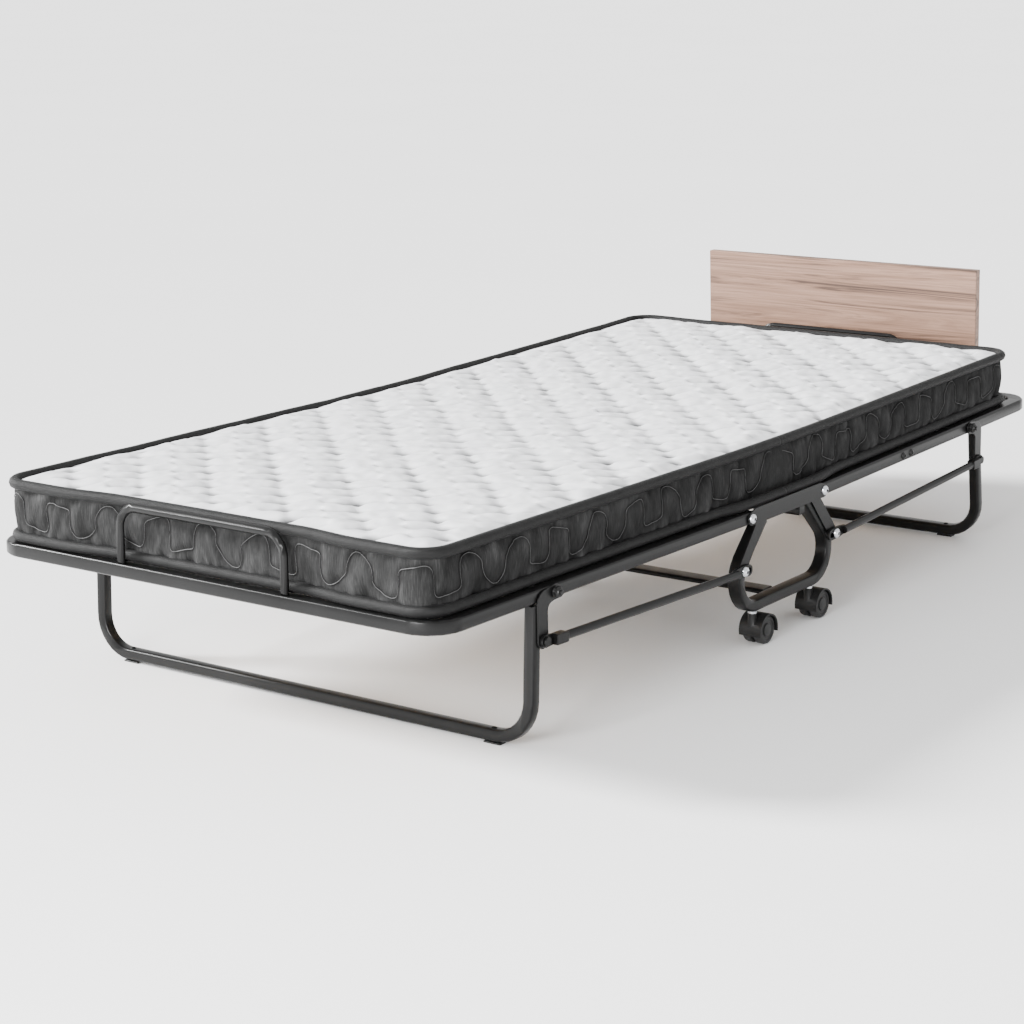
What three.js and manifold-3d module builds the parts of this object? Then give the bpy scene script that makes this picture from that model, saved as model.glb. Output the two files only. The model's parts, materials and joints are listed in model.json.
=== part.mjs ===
// Folding cot on castors: two hinged deck halves, self-folding U legs, a wheeled centre frame,
// a three-section foam mattress, a hoop at each end and a headboard that is a table top when folded.
// Millimetres, +Z up. X runs from the foot (-X) to the head (+X), Y across, and the floor is Z = 0.
import * as THREE from 'three';
import { mergeVertices } from 'three/addons/utils/BufferGeometryUtils.js';
import loadManifold from 'manifold-3d';

const wasm = await loadManifold();
wasm.setup();
const { Manifold, Mesh: SolidMesh } = wasm;

// ---- driving dimensions ----
const GAP = 0.3;                // clearance between neighbouring pieces
const DEG = Math.PI / 180;

const HINGE_X = 122;            // deck hinges, each side of the middle
const HINGE_Z = 231;
const DECK_SAG = 0.87 * DEG;    // each deck dips towards the middle
const RAIL_HALF_WIDTH = 463;    // outside of the deck frame
const RAIL_WIDTH = 30;
const RAIL_HEIGHT = 22;
const RAIL_REACH = 853;         // from the hinge to the frame's outer end
const RAIL_STUB = 14;           // frame beyond the hinge, towards the middle
const RAIL_CORNER = 60;
const EDGE_ROUND = 3;           // rounded edges of the box tubes
const CROSSBAR_X = 40;
const CROSSBAR_WIDTH = 25;

const SLAT_COUNT = 6;
const SLAT_FIRST = 100;
const SLAT_LAST = 750;
const SLAT_WIDTH = 53;
const SLAT_THICKNESS = 8;

const MATTRESS_HALF_WIDTH = 450;
const MATTRESS_THICKNESS = 105;
const MATTRESS_CORNER = 45;
const MATTRESS_FOOT_REACH = 836;
const MATTRESS_HEAD_REACH = 790;

const HOOP_X = 846;
const HOOP_HALF_WIDTH = 177;
const HOOP_HEIGHT = 100;
const HOOP_BAR = 14;
const HOOP_DEPTH = 12;
const HOOP_CORNER = 42;

const BOARD_X = 880;            // inner face of the headboard
const BOARD_THICKNESS = 18;
const BOARD_HALF_WIDTH = 320;
const BOARD_BOTTOM = -46;
const BOARD_TOP = 251;
const BOARD_BRACKET_Y = 200;
const BOARD_BRACKET_WIDTH = 30;
const BOARD_BRACKET_RISE = 75;
const BOARD_BRACKET_STEEL = 4;
const BOARD_BRACKET_FOOT = 54;

const LEG_PIVOT_X = 570;        // along the deck from the hinge
const LEG_OFFSET = 41;          // leg tube beyond its pivot
const LEG_DROP = 12;            // top of the leg tube below its pivot
const LEG_TUBE = 20;
const LEG_CORNER = 72;
const LEG_SPLAY = { foot: 3 * DEG, head: 6 * DEG };
const GLIDE_Y = 385;
const GLIDE_THICKNESS = 3;
const GLIDE_HALF_WIDTH = 8;
const GLIDE_HALF_LENGTH = 16;
const LEG_PLATE_LOBE = 13;      // half width of the leg bracket's sheet round each pin
const LEG_PLATE_NECK = { top: -14, bottom: -26 };
const LEG_PLATE_SHOULDER = { top: 10, bend: 8, bottom: -12 };
const LEG_PLATE_ARC = { from: -75 * DEG, to: 60 * DEG };

const SHEET = 3;                // steel sheet of the plates and brackets
const PLATE_Y = RAIL_HALF_WIDTH + GAP;
const PLATE_HALF_LENGTH = 121;
const PLATE_TOP = 16;
const PLATE_TOP_INSET = 12;
const PLATE_BOTTOM = -12;
const ARM_WIDTH = 24;
const ARM_TOP = { x: 88, z: HINGE_Z - 5 };   // where an arm's middle line enters the plate
const ROD_PIN_X = 155;          // rod pins on the arms of the hinge plates
const ROD_PIN_Z = 147;

const LOOP_ARC_X = 97;
const LOOP_ARC_Z = 124;
const LOOP_RADIUS = 51;
const LOOP_TUBE = 20;
const LOOP_DEPTH = 25;
const LOOP_END_X = 71;

const UPPER_TUBE = { x: 50, z: 210, size: 18 };
const LOWER_BAR = { x: -20, z: 78, width: 34, height: 9 };

const BOLT_RADIUS = 4;
const BOLT_HEAD_RADIUS = 9;
const BOLT_HEAD_HEIGHT = 4.5;
const BOLT_DEPTH = 14;

const ROD_RADIUS = 7;
const ROD_Y = 474.2;
const BLADE_THICKNESS = 5;
const BLADE_Y = 469.7;
const BLADE_HALF_WIDTH = 10;
const LEG_ROD_ARM = { x: 33, z: -69 };   // rod pin on the leg, from the leg's pivot
const ROD_COLLAR = 34;          // flattened end of a rod, from its pin
const ROD_SHOULDER = 12;
const ROD_OVERLAP = 10;         // round rod let into each flattened end
const SLOT_TRAVEL = 15;         // lost motion of the rod along the centre pin
const SLOT_HALF_WIDTH = 5.4;
const ROD_PIN_RADIUS = 3;

const CASTOR_X = 95;
const CASTOR_Y = RAIL_HALF_WIDTH - LOOP_DEPTH / 2;
const CASTOR_TRAIL = 20;
const WHEEL_RADIUS = 25;
const WHEEL_FACE = 20;          // outer faces of the twin wheels, from the middle
const HOOD_INNER = 26.2;
const HOOD_OUTER = 29;
const HOOD_HALF_WIDTH = 22;
const HOOD_END = 15 * DEG;      // the hood's ends below the axle's height
const WEB_THICKNESS = 4.4;
const WEB_HUB = 9;
const BOSS_RADIUS = 8;
const BOSS_BOTTOM = 34;
const BOSS_TOP = 60;
const STEM_RADIUS = 5;
const STEM_BOTTOM = 50;
const STEM_TOP = 78;
const HALF_AXLE = 3;
const WHEEL_EDGE = 2;

const DECK_TOP = RAIL_HEIGHT / 2;
const SIDES = { right: -1, left: 1 };
const ENDS = { foot: -1, head: 1 };

// ---- materials ----
function coat(color, roughness, metalness) {
  return () => new THREE.MeshStandardMaterial({ color, roughness, metalness });
}
const powderCoat = coat(0x3f4043, 0.45, 0.35);
const zinc = coat(0xd3d6da, 0.28, 0.9);
const blackPlastic = coat(0x2b2c2f, 0.5, 0.0);
const beech = coat(0xc9a878, 0.55, 0.0);
const oakLaminate = coat(0xb59f93, 0.5, 0.0);
const ticking = coat(0xe9eaec, 0.9, 0.0);

// ---- geometry helpers ----
function extrude(shape, thickness, edge = 0, curveSegments = 4) {
  const geometry = new THREE.ExtrudeGeometry(shape, {
    depth: thickness - 2 * edge,
    bevelEnabled: edge > 0,
    bevelThickness: edge,
    bevelSize: edge,
    bevelOffset: -edge,
    bevelSegments: 1,
    curveSegments,
  });
  geometry.translate(0, 0, edge - thickness / 2);
  return geometry;
}

function rectangle(x0, y0, x1, y1) {
  const shape = new THREE.Shape();
  shape.moveTo(x0, y0);
  shape.lineTo(x1, y0);
  shape.lineTo(x1, y1);
  shape.lineTo(x0, y1);
  return shape;
}

// A bar bent to a U that runs out along +X from start and closes at reach.
function uShape(halfWidth, start, reach, radius, width) {
  const bendX = reach - radius;
  const bendY = halfWidth - radius;
  const shape = new THREE.Shape();
  shape.moveTo(start, -halfWidth);
  shape.lineTo(bendX, -halfWidth);
  shape.absarc(bendX, -bendY, radius, -Math.PI / 2, 0);
  shape.absarc(bendX, bendY, radius, 0, Math.PI / 2);
  shape.lineTo(start, halfWidth);
  shape.lineTo(start, halfWidth - width);
  shape.absarc(bendX, bendY, radius - width, Math.PI / 2, 0, true);
  shape.absarc(bendX, -bendY, radius - width, 0, -Math.PI / 2, true);
  shape.lineTo(start, -halfWidth + width);
  return shape;
}

function circleHole(x, y, radius) {
  const hole = new THREE.Path();
  hole.absarc(x, y, radius, 2 * Math.PI, Math.PI, true);
  hole.absarc(x, y, radius, Math.PI, 0, true);
  return hole;
}

// Turns a flat outline in X and Y, extruded along Z, upright: its Y becomes Z.
function standUp(geometry) {
  return geometry.rotateX(Math.PI / 2);
}

// A round bar along Y from one side coordinate to another.
function crossPin(radius, x, z, fromY, toY, segments = 14) {
  const geometry = new THREE.CylinderGeometry(radius, radius, Math.abs(toY - fromY), segments);
  return geometry.translate(x, (fromY + toY) / 2, z);
}

function toSolid(geometry) {
  const plain = new THREE.BufferGeometry();
  plain.setAttribute('position', geometry.attributes.position);
  if (geometry.index) {
    plain.setIndex(geometry.index);
  }
  const welded = mergeVertices(plain, 1e-4);
  return new Manifold(new SolidMesh({
    numProp: 3,
    vertProperties: new Float32Array(welded.attributes.position.array),
    triVerts: new Uint32Array(welded.index.array),
  }));
}

function toGeometry(solid) {
  const mesh = solid.getMesh();
  const geometry = new THREE.BufferGeometry();
  geometry.setAttribute('position', new THREE.BufferAttribute(mesh.vertProperties, 3));
  geometry.setIndex(new THREE.BufferAttribute(mesh.triVerts, 1));
  geometry.computeVertexNormals();
  return geometry;
}

function join(...geometries) {
  return toGeometry(geometries.map(toSolid).reduce((whole, piece) => whole.add(piece)));
}

function cut(geometry, ...tools) {
  return toGeometry(tools.map(toSolid).reduce((rest, tool) => rest.subtract(tool), toSolid(geometry)));
}

function piece(parent, name, geometry, material, x = 0, y = 0, z = 0) {
  const mesh = new THREE.Mesh(geometry, material());
  mesh.name = name;
  mesh.position.set(x, y, z);
  parent.add(mesh);
  return mesh;
}

// ---- deck halves, drawn with +X running out from the hinge ----
function railGeometry() {
  const shape = uShape(RAIL_HALF_WIDTH, -RAIL_STUB, RAIL_REACH, RAIL_CORNER, RAIL_WIDTH);
  const holes = [0, LEG_PIVOT_X].flatMap((x) => Object.values(SIDES).map((side) => crossPin(
    BOLT_RADIUS + GAP, x, 0, side * (RAIL_HALF_WIDTH + 1), side * (RAIL_HALF_WIDTH - BOLT_DEPTH),
  )));
  return cut(extrude(shape, RAIL_HEIGHT, EDGE_ROUND), ...holes);
}

function crossbarGeometry() {
  const halfLength = RAIL_HALF_WIDTH - RAIL_WIDTH - GAP;
  const shape = rectangle(-CROSSBAR_WIDTH / 2, -halfLength, CROSSBAR_WIDTH / 2, halfLength);
  return extrude(shape, RAIL_HEIGHT - 2, EDGE_ROUND);
}

function slatGeometry() {
  const halfLength = RAIL_HALF_WIDTH - RAIL_WIDTH - GAP;
  const shape = rectangle(-SLAT_WIDTH / 2, -halfLength, SLAT_WIDTH / 2, halfLength);
  return extrude(shape, SLAT_THICKNESS, 1);
}

function mattressGeometry(reach) {
  const shape = new THREE.Shape();
  const bendX = reach - MATTRESS_CORNER;
  const bendY = MATTRESS_HALF_WIDTH - MATTRESS_CORNER;
  shape.moveTo(GAP / 2, -MATTRESS_HALF_WIDTH);
  shape.lineTo(bendX, -MATTRESS_HALF_WIDTH);
  shape.absarc(bendX, -bendY, MATTRESS_CORNER, -Math.PI / 2, 0);
  shape.absarc(bendX, bendY, MATTRESS_CORNER, 0, Math.PI / 2);
  shape.lineTo(GAP / 2, MATTRESS_HALF_WIDTH);
  return extrude(shape, MATTRESS_THICKNESS);
}

function hoopGeometry() {
  const shape = uShape(HOOP_HALF_WIDTH, 0, HOOP_HEIGHT, HOOP_CORNER, HOOP_BAR);
  return extrude(shape, HOOP_DEPTH, 4).rotateY(-Math.PI / 2);
}

function headboardGeometry() {
  const shape = rectangle(-BOARD_HALF_WIDTH, BOARD_BOTTOM, BOARD_HALF_WIDTH, BOARD_TOP);
  return standUp(extrude(shape, BOARD_THICKNESS, 1)).rotateZ(Math.PI / 2);
}

function boardBracketGeometry() {
  const steel = BOARD_BRACKET_STEEL;
  const foot = BOARD_BRACKET_FOOT;
  const shape = new THREE.Shape();
  shape.moveTo(0, 0);
  shape.lineTo(foot, 0);
  shape.lineTo(foot, BOARD_BRACKET_RISE);
  shape.lineTo(foot - steel, BOARD_BRACKET_RISE);
  shape.lineTo(foot - steel, steel);
  shape.lineTo(0, steel);
  return standUp(extrude(shape, BOARD_BRACKET_WIDTH)).translate(-foot, 0, 0);
}

function addSlats(deck, end) {
  const pitch = (SLAT_LAST - SLAT_FIRST) / (SLAT_COUNT - 1);
  const height = DECK_TOP - GAP - SLAT_THICKNESS / 2;
  for (let i = 0; i < SLAT_COUNT; i += 1) {
    piece(deck, `${end}_slat_${i + 1}`, slatGeometry(), beech, SLAT_FIRST + i * pitch, 0, height);
  }
}

// The frame of one deck half: origin on the hinge axis, +X out, tipped by the sag.
function deckFrame(end) {
  const turned = new THREE.Group();
  turned.position.set(ENDS[end] * HINGE_X, 0, HINGE_Z);
  turned.rotation.z = end === 'foot' ? Math.PI : 0;
  const deck = new THREE.Group();
  deck.rotation.y = -DECK_SAG;
  turned.add(deck);
  piece(deck, `${end}_rail`, railGeometry(), powderCoat);
  piece(deck, `${end}_crossbar`, crossbarGeometry(), powderCoat, CROSSBAR_X);
  addSlats(deck, end);
  const reach = end === 'foot' ? MATTRESS_FOOT_REACH : MATTRESS_HEAD_REACH;
  const height = DECK_TOP + GAP + MATTRESS_THICKNESS / 2;
  piece(deck, `mattress_${end}`, mattressGeometry(reach), ticking, 0, 0, height);
  piece(deck, `${end}_hoop`, hoopGeometry(), powderCoat, HOOP_X, 0, DECK_TOP + GAP);
  return { turned, deck };
}

function headDeck() {
  const { turned, deck } = deckFrame('head');
  piece(deck, 'headboard', headboardGeometry(), oakLaminate, BOARD_X + BOARD_THICKNESS / 2);
  for (const [side, sign] of Object.entries(SIDES)) {
    piece(deck, `headboard_bracket_${side}`, boardBracketGeometry(), powderCoat,
      BOARD_X - GAP, sign * BOARD_BRACKET_Y, DECK_TOP + GAP);
  }
  return turned;
}

// ---- legs, drawn with +X outward and the origin on the leg's pivot ----
function legTubeGeometry(splay, pivotHeight) {
  const toFloor = pivotHeight - LEG_DROP - GLIDE_THICKNESS - GAP;
  const reach = (toFloor - Math.sin(splay) * LEG_TUBE / 2) / Math.cos(splay);
  const shape = uShape(RAIL_HALF_WIDTH, 0, reach, LEG_CORNER, LEG_TUBE);
  return extrude(shape, LEG_TUBE, EDGE_ROUND).rotateY(Math.PI / 2);
}

function legBracketShape() {
  const lobe = LEG_PLATE_LOBE;
  const neck = LEG_PLATE_NECK;
  const shoulder = LEG_PLATE_SHOULDER;
  const { from, to } = LEG_PLATE_ARC;
  const { x, z } = LEG_ROD_ARM;
  const shape = new THREE.Shape();
  shape.moveTo(x - lobe, z);
  shape.lineTo(x - lobe, neck.bottom);
  shape.quadraticCurveTo(x - lobe, neck.top, lobe * Math.cos(from), lobe * Math.sin(from));
  shape.absarc(0, 0, lobe, from, to, true);
  shape.lineTo(x - lobe, shoulder.top);
  shape.quadraticCurveTo(x + lobe, shoulder.bend, x + lobe, shoulder.bottom);
  shape.absarc(x, z, lobe, 0, -Math.PI, true);
  return shape;
}

// Sheet, pivot stud and rod stud of a leg bracket, drawn on the +Y side.
function legBracketGeometry() {
  const inner = PLATE_Y + GAP;
  const outer = inner + SHEET;
  const { x, z } = LEG_ROD_ARM;
  const sheet = standUp(extrude(legBracketShape(), SHEET)).translate(0, inner + SHEET / 2, 0);
  const bladeOuter = BLADE_Y + BLADE_THICKNESS / 2 + GAP;
  return join(
    sheet,
    crossPin(BOLT_RADIUS, 0, 0, RAIL_HALF_WIDTH - BOLT_DEPTH + 1, outer),
    crossPin(BOLT_HEAD_RADIUS - 1, 0, 0, outer - 0.5, outer + BOLT_HEAD_HEIGHT),
    crossPin(BOLT_RADIUS, x, z, outer - 0.5, bladeOuter + 0.5),
    crossPin(BOLT_HEAD_RADIUS - 1.5, x, z, bladeOuter, bladeOuter + BOLT_HEAD_HEIGHT - 0.5),
  );
}

function glideGeometry() {
  const outline = rectangle(-GLIDE_HALF_WIDTH, -GLIDE_HALF_LENGTH, GLIDE_HALF_WIDTH, GLIDE_HALF_LENGTH);
  return extrude(outline, GLIDE_THICKNESS, GLIDE_THICKNESS / 4);
}

function mirrorY(geometry) {
  return toGeometry(toSolid(geometry).mirror([0, 1, 0]));
}

function deckPoint(end, along) {
  const x = HINGE_X + along * Math.cos(DECK_SAG);
  return { x: ENDS[end] * x, z: HINGE_Z + along * Math.sin(DECK_SAG) };
}

function leg(end) {
  const pivot = deckPoint(end, LEG_PIVOT_X);
  const splay = LEG_SPLAY[end];
  const group = new THREE.Group();
  group.position.set(pivot.x, 0, pivot.z);
  group.rotation.z = end === 'foot' ? Math.PI : 0;
  const tubeGeometry = legTubeGeometry(splay, pivot.z);
  const tube = piece(group, `${end}_leg_tube`, tubeGeometry, powderCoat, LEG_OFFSET, 0, -LEG_DROP);
  tube.rotation.y = -splay;
  const glideX = LEG_OFFSET + (pivot.z - LEG_DROP) * Math.tan(splay);
  for (const [side, sign] of Object.entries(SIDES)) {
    const local = sign * ENDS[end];
    const bracket = local > 0 ? legBracketGeometry() : mirrorY(legBracketGeometry());
    piece(group, `${end}_leg_bracket_${side}`, bracket, powderCoat);
    piece(group, `${end}_glide_${side}`, glideGeometry(), blackPlastic,
      glideX, local * GLIDE_Y, GLIDE_THICKNESS / 2 - pivot.z);
  }
  return group;
}

// ---- push rods, drawn along +X from the leg's pin to the slot on the centre pin ----
function rodEyeShape() {
  const shape = new THREE.Shape();
  shape.moveTo(0, BLADE_HALF_WIDTH);
  shape.absarc(0, 0, BLADE_HALF_WIDTH, Math.PI / 2, 1.5 * Math.PI);
  shape.lineTo(ROD_COLLAR, -ROD_RADIUS);
  shape.lineTo(ROD_COLLAR, ROD_RADIUS);
  shape.holes.push(circleHole(0, 0, BOLT_RADIUS + GAP));
  return shape;
}

function rodForkShape(length) {
  const slotEnd = length + SLOT_TRAVEL;
  const shape = new THREE.Shape();
  shape.moveTo(length - ROD_COLLAR, -ROD_RADIUS);
  shape.lineTo(length - ROD_SHOULDER, -BLADE_HALF_WIDTH);
  shape.absarc(slotEnd, 0, BLADE_HALF_WIDTH, -Math.PI / 2, Math.PI / 2);
  shape.lineTo(length - ROD_SHOULDER, BLADE_HALF_WIDTH);
  shape.lineTo(length - ROD_COLLAR, ROD_RADIUS);
  const slot = new THREE.Path();
  slot.absarc(slotEnd, 0, SLOT_HALF_WIDTH, Math.PI / 2, -Math.PI / 2, true);
  slot.absarc(length, 0, SLOT_HALF_WIDTH, -Math.PI / 2, Math.PI / 2, true);
  shape.holes.push(slot);
  return shape;
}

function rodGeometry(length) {
  const tubeLength = length - 2 * (ROD_COLLAR - ROD_OVERLAP);
  const tube = new THREE.CylinderGeometry(ROD_RADIUS, ROD_RADIUS, tubeLength, 16);
  tube.rotateZ(Math.PI / 2).translate(length / 2, ROD_Y - BLADE_Y, 0);
  const blades = [rodEyeShape(), rodForkShape(length)];
  return join(tube, ...blades.map((shape) => standUp(extrude(shape, BLADE_THICKNESS))));
}

function rod(end, side) {
  const pivot = deckPoint(end, LEG_PIVOT_X);
  const outX = Math.abs(pivot.x) + LEG_ROD_ARM.x;
  const outZ = pivot.z + LEG_ROD_ARM.z;
  const run = outX - ROD_PIN_X;
  const drop = outZ - ROD_PIN_Z;
  const geometry = rodGeometry(Math.hypot(run, drop));
  const group = new THREE.Group();
  group.position.set(ENDS[end] * outX, SIDES[side] * BLADE_Y, outZ);
  group.rotation.z = end === 'foot' ? 0 : Math.PI;
  const outward = SIDES[side] * (end === 'foot' ? 1 : -1);
  const handed = outward > 0 ? geometry : mirrorY(geometry);
  const mesh = piece(group, `${end}_rod_${side}`, handed, powderCoat);
  mesh.rotation.y = Math.atan2(drop, run);
  return group;
}

// ---- centre frame ----
function hingePlateShape() {
  const half = PLATE_HALF_LENGTH;
  const pinDx = ROD_PIN_X - ARM_TOP.x;
  const pinDz = ROD_PIN_Z - ARM_TOP.z;
  const armLength = Math.hypot(pinDx, pinDz);
  const armHalf = ARM_WIDTH / 2;
  const normal = { x: -pinDz / armLength, z: pinDx / armLength };
  const armAngle = Math.atan2(normal.z, normal.x);
  const shape = new THREE.Shape();
  // Right-hand half: along the bottom, down the arm, round the rod pin, back up, round the hinge.
  const innerStart = armEdgeAt(HINGE_Z + PLATE_BOTTOM, -armHalf, normal);
  const outerEnd = armEdgeAt(HINGE_Z + PLATE_BOTTOM, armHalf, normal);
  shape.moveTo(-innerStart, HINGE_Z + PLATE_BOTTOM);
  shape.lineTo(innerStart, HINGE_Z + PLATE_BOTTOM);
  shape.absarc(ROD_PIN_X, ROD_PIN_Z, armHalf, armAngle + Math.PI, armAngle);
  shape.lineTo(outerEnd, HINGE_Z + PLATE_BOTTOM);
  shape.absarc(half, HINGE_Z, -PLATE_BOTTOM, -Math.PI / 2, Math.PI / 3);
  shape.lineTo(half - PLATE_TOP_INSET, HINGE_Z + PLATE_TOP);
  shape.lineTo(-half + PLATE_TOP_INSET, HINGE_Z + PLATE_TOP);
  shape.absarc(-half, HINGE_Z, -PLATE_BOTTOM, Math.PI - Math.PI / 3, 1.5 * Math.PI);
  shape.lineTo(-outerEnd, HINGE_Z + PLATE_BOTTOM);
  shape.absarc(-ROD_PIN_X, ROD_PIN_Z, armHalf, Math.PI - armAngle, -armAngle);
  for (const sign of [-1, 1]) {
    shape.holes.push(circleHole(sign * HINGE_X, HINGE_Z, BOLT_RADIUS + GAP));
    shape.holes.push(circleHole(sign * ROD_PIN_X, ROD_PIN_Z, ROD_PIN_RADIUS + GAP));
  }
  return shape;
}

// X of an arm edge at a given height; offset is measured from the arm's middle line.
function armEdgeAt(z, offset, normal) {
  const edgeX = ROD_PIN_X + offset * normal.x;
  const edgeZ = ROD_PIN_Z + offset * normal.z;
  return edgeX + (z - edgeZ) * (-normal.z / normal.x);
}

function hingePlateGeometry() {
  return standUp(extrude(hingePlateShape(), SHEET));
}

function wheelLoopShape() {
  const outer = LOOP_RADIUS + LOOP_TUBE / 2;
  const inner = LOOP_RADIUS - LOOP_TUBE / 2;
  const turn = Math.PI / 4;
  const along = (LOOP_ARC_X + LOOP_RADIUS * Math.cos(turn) - LOOP_END_X) / Math.cos(turn);
  const corner = (radius) => ({
    x: LOOP_ARC_X + (radius - along) * Math.cos(turn),
    z: LOOP_ARC_Z + (radius + along) * Math.sin(turn),
  });
  const shape = new THREE.Shape();
  shape.moveTo(corner(inner).x, corner(inner).z);
  shape.lineTo(corner(outer).x, corner(outer).z);
  shape.absarc(LOOP_ARC_X, LOOP_ARC_Z, outer, turn, -Math.PI / 2, true);
  shape.absarc(-LOOP_ARC_X, LOOP_ARC_Z, outer, -Math.PI / 2, -Math.PI - turn, true);
  shape.lineTo(-corner(outer).x, corner(outer).z);
  shape.lineTo(-corner(inner).x, corner(inner).z);
  shape.absarc(-LOOP_ARC_X, LOOP_ARC_Z, inner, Math.PI - turn, 1.5 * Math.PI);
  shape.absarc(LOOP_ARC_X, LOOP_ARC_Z, inner, -Math.PI / 2, turn);
  return shape;
}

function wheelLoopGeometry() {
  const loop = standUp(extrude(wheelLoopShape(), LOOP_DEPTH, EDGE_ROUND, 5));
  const sockets = [-1, 1].map((sign) => {
    const depth = STEM_TOP - STEM_BOTTOM;
    const socket = new THREE.CylinderGeometry(STEM_RADIUS + GAP, STEM_RADIUS + GAP, depth, 16);
    return socket.rotateX(Math.PI / 2).translate(sign * CASTOR_X, 0, STEM_TOP + 1 - depth / 2);
  });
  return cut(loop, ...sockets);
}

// A domed bolt along Y with its head at the positive end.
function boltGeometry(shankRadius, shankLength, headRadius) {
  const profile = [
    [0, -shankLength],
    [shankRadius, -shankLength],
    [shankRadius, 0],
    [headRadius, 0],
    [headRadius, BOLT_HEAD_HEIGHT / 4],
    [headRadius / 2, BOLT_HEAD_HEIGHT],
    [0, BOLT_HEAD_HEIGHT],
  ];
  return new THREE.LatheGeometry(profile.map(([r, y]) => new THREE.Vector2(r, y)), 14);
}

function addBolt(parent, name, geometry, x, y, z) {
  const bolt = piece(parent, name, geometry, zinc, x, y, z);
  bolt.rotation.x = y < 0 ? Math.PI : 0;
}

function addCrossBars(frame) {
  const { x, z, size } = UPPER_TUBE;
  const upper = rectangle(-size / 2, -RAIL_HALF_WIDTH, size / 2, RAIL_HALF_WIDTH);
  piece(frame, 'upper_cross_tube', extrude(upper, size, EDGE_ROUND), powderCoat, x, 0, z);
  const { width, height } = LOWER_BAR;
  const halfLength = RAIL_HALF_WIDTH - LOOP_DEPTH - GAP;
  const lower = extrude(rectangle(-width / 2, -halfLength, width / 2, halfLength), height, EDGE_ROUND);
  piece(frame, 'lower_cross_bar', lower, powderCoat, LOWER_BAR.x, 0, LOWER_BAR.z);
}

function addFrameSide(frame, side, sign) {
  const hingeShank = BOLT_DEPTH - 1 + SHEET + 2 * GAP;
  const pinSeat = BLADE_Y + BLADE_THICKNESS / 2 + GAP;
  const pinShank = pinSeat - PLATE_Y - GAP / 2;
  const plateY = sign * (PLATE_Y + SHEET / 2);
  piece(frame, `hinge_plate_${side}`, hingePlateGeometry(), powderCoat, 0, plateY, 0);
  piece(frame, `wheel_loop_${side}`, wheelLoopGeometry(), powderCoat, 0, sign * CASTOR_Y, 0);
  for (const [end, out] of Object.entries(ENDS)) {
    const hingeBolt = boltGeometry(BOLT_RADIUS, hingeShank, BOLT_HEAD_RADIUS);
    const hingeSeat = sign * (PLATE_Y + SHEET + GAP);
    addBolt(frame, `hinge_bolt_${end}_${side}`, hingeBolt, out * HINGE_X, hingeSeat, HINGE_Z);
    const rodPin = boltGeometry(ROD_PIN_RADIUS, pinShank, BOLT_HEAD_RADIUS);
    addBolt(frame, `rod_pin_${end}_${side}`, rodPin, out * ROD_PIN_X, sign * pinSeat, ROD_PIN_Z);
  }
}

function centreFrame() {
  const frame = new THREE.Group();
  for (const [side, sign] of Object.entries(SIDES)) {
    addFrameSide(frame, side, sign);
  }
  addCrossBars(frame);
  piece(frame, 'mattress_fold', mattressFoldGeometry(), ticking);
  return frame;
}

// The middle of the mattress, level between the two sagging halves.
function mattressFoldGeometry() {
  const low = HINGE_Z + DECK_TOP + GAP;
  const lean = Math.tan(DECK_SAG);
  const shape = new THREE.Shape();
  const bottomX = HINGE_X - GAP - DECK_TOP * lean;
  const topX = bottomX - MATTRESS_THICKNESS * lean;
  shape.moveTo(-bottomX, low);
  shape.lineTo(bottomX, low);
  shape.lineTo(topX, low + MATTRESS_THICKNESS);
  shape.lineTo(-topX, low + MATTRESS_THICKNESS);
  return standUp(extrude(shape, 2 * MATTRESS_HALF_WIDTH));
}

// ---- castors, drawn with the stem on the Z axis and the wheels trailing along +X ----
function hoodShape() {
  const shape = new THREE.Shape();
  shape.absarc(CASTOR_TRAIL, WHEEL_RADIUS, HOOD_OUTER, -HOOD_END, Math.PI + HOOD_END);
  shape.absarc(CASTOR_TRAIL, WHEEL_RADIUS, HOOD_INNER, Math.PI + HOOD_END, -HOOD_END, true);
  return shape;
}

// The plate between the twin wheels that carries their axle.
function webShape() {
  const shape = new THREE.Shape();
  shape.absarc(CASTOR_TRAIL, WHEEL_RADIUS, (HOOD_INNER + HOOD_OUTER) / 2, 0, Math.PI);
  shape.absarc(CASTOR_TRAIL, WHEEL_RADIUS, WEB_HUB, Math.PI, 2 * Math.PI);
  shape.holes.push(circleHole(CASTOR_TRAIL, WHEEL_RADIUS, BOLT_RADIUS + GAP));
  return shape;
}

function uprightCylinder(radius, bottom, top) {
  const geometry = new THREE.CylinderGeometry(radius, radius, top - bottom, 16);
  return geometry.rotateX(Math.PI / 2).translate(0, 0, (top + bottom) / 2);
}

function castorHousingGeometry() {
  const boss = uprightCylinder(BOSS_RADIUS, BOSS_BOTTOM, BOSS_TOP);
  const stem = uprightCylinder(STEM_RADIUS, STEM_BOTTOM, STEM_TOP);
  const wheelRoom = crossPin(HOOD_INNER, CASTOR_TRAIL, WHEEL_RADIUS, -HOOD_OUTER, HOOD_OUTER, 24);
  return join(
    standUp(extrude(hoodShape(), 2 * HOOD_HALF_WIDTH, 0, 8)),
    standUp(extrude(webShape(), WEB_THICKNESS, 0, 8)),
    cut(join(boss, stem), wheelRoom),
  );
}

function castorWheelsGeometry() {
  const wheel = [
    [BOLT_RADIUS, HALF_AXLE],
    [WHEEL_RADIUS, HALF_AXLE],
    [WHEEL_RADIUS, WHEEL_FACE - WHEEL_EDGE],
    [WHEEL_RADIUS - WHEEL_EDGE, WHEEL_FACE],
    [0, WHEEL_FACE],
  ];
  const mirrored = wheel.map(([r, y]) => [r, -y]).reverse();
  const profile = [...mirrored, ...wheel].map(([r, y]) => new THREE.Vector2(r, y));
  return new THREE.LatheGeometry(profile, 24);
}

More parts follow.
